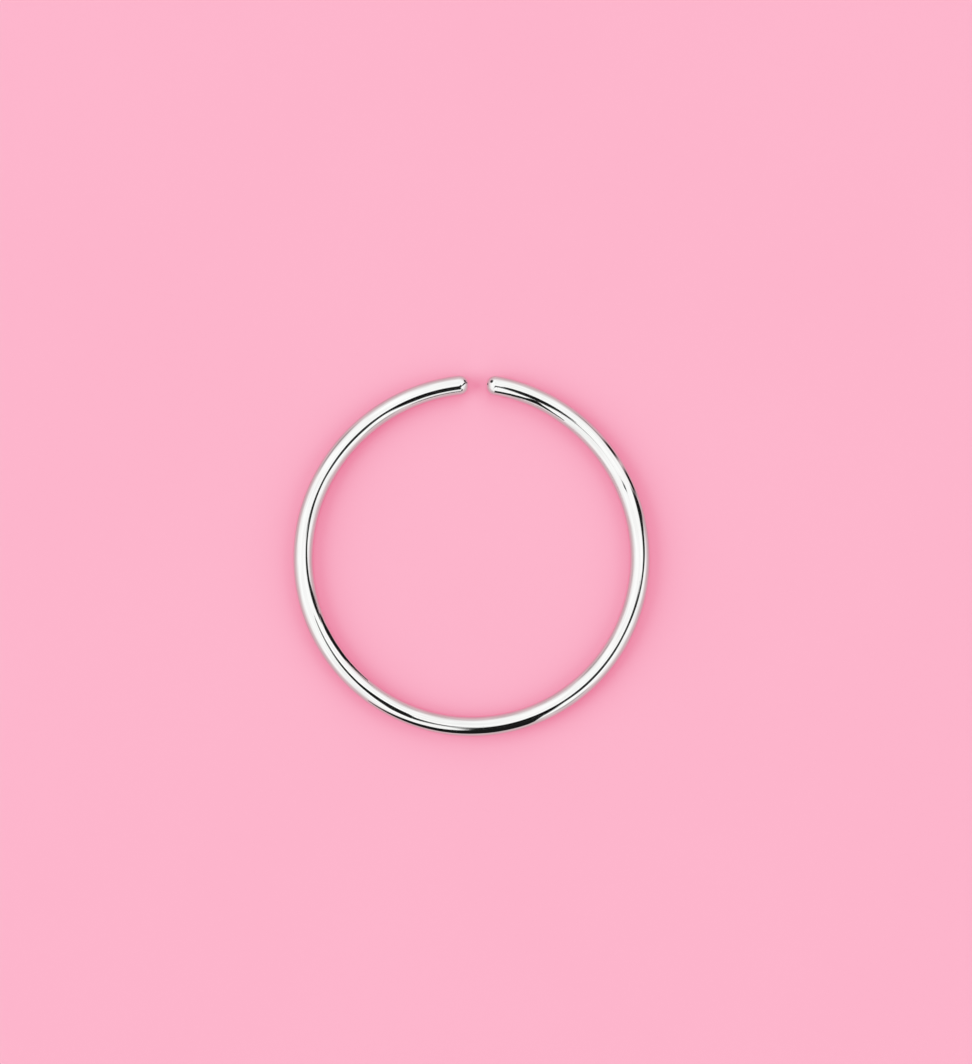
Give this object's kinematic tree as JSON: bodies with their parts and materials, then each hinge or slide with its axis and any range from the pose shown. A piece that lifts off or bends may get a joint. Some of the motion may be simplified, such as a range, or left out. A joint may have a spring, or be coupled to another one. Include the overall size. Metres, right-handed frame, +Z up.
{
  "type": "nose ring",
  "caption": "Plain open nose hoop: thin round wire bent into a near-circle, with a narrow gap between its rounded ends.",
  "frame": {"origin": "on the surface that the hoop lies on, under the centre of its round body", "axes": "+Z up, square to the hoop, which lies flat; +Y from the centre towards the gap; +X to the right, seen from above with the gap at the top"},
  "size_m": [0.0112, 0.0113, 0.0006],
  "materials": {
    "silver": "mirror-polished sterling silver wire with faint drawing lines and fine handling scratches"
  },
  "bodies": {
    "root": {"hoop": "silver"}
  },
  "joints": []
}
